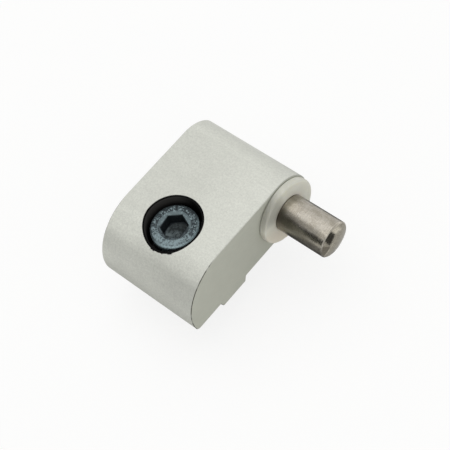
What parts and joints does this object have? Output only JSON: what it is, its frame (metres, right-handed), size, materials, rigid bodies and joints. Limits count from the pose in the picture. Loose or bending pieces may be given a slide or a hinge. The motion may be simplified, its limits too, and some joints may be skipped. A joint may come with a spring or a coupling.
{
  "type": "lift-off hinge pin half",
  "caption": "Pin half of a lift-off hinge: extruded aluminium body with a slot tongue, a cap screw in a lined counterbore, and a steel pin with a nylon thrust washer.",
  "frame": {"origin": "on the screw's axis, in the plane of the mounting face, at the middle of the tongue's root", "axes": "+X along the hinge pin to its free end, +Y from the screw to the knuckle, +Z away from the profile that the hinge is screwed to"},
  "size_m": [0.038, 0.0365, 0.0233],
  "materials": {
    "anodised_aluminium": "clear anodised, satin",
    "black_plastic": "matte black",
    "zinc_plated_steel": "zinc plated, mottled blue-grey",
    "stainless_steel": "ground stainless steel",
    "natural_nylon": "translucent natural nylon"
  },
  "bodies": {
    "hinge_half": {"body": "anodised_aluminium", "hinge_pin": "stainless_steel", "screw_sleeve": "black_plastic"},
    "screw": {"cap_screw": "zinc_plated_steel"},
    "washer": {"thrust_washer": "natural_nylon"}
  },
  "joints": [
    {"name": "screw_turn", "type": "hinge", "parent": "hinge_half", "child": "screw", "pos_m": [0, 0, 0.0077], "axis": [0, 0, -1], "continuous": true},
    {"name": "washer_turn", "type": "hinge", "parent": "hinge_half", "child": "washer", "pos_m": [0.0123, 0.0175, 0.0075], "axis": [1, 0, 0], "continuous": true}
  ]
}
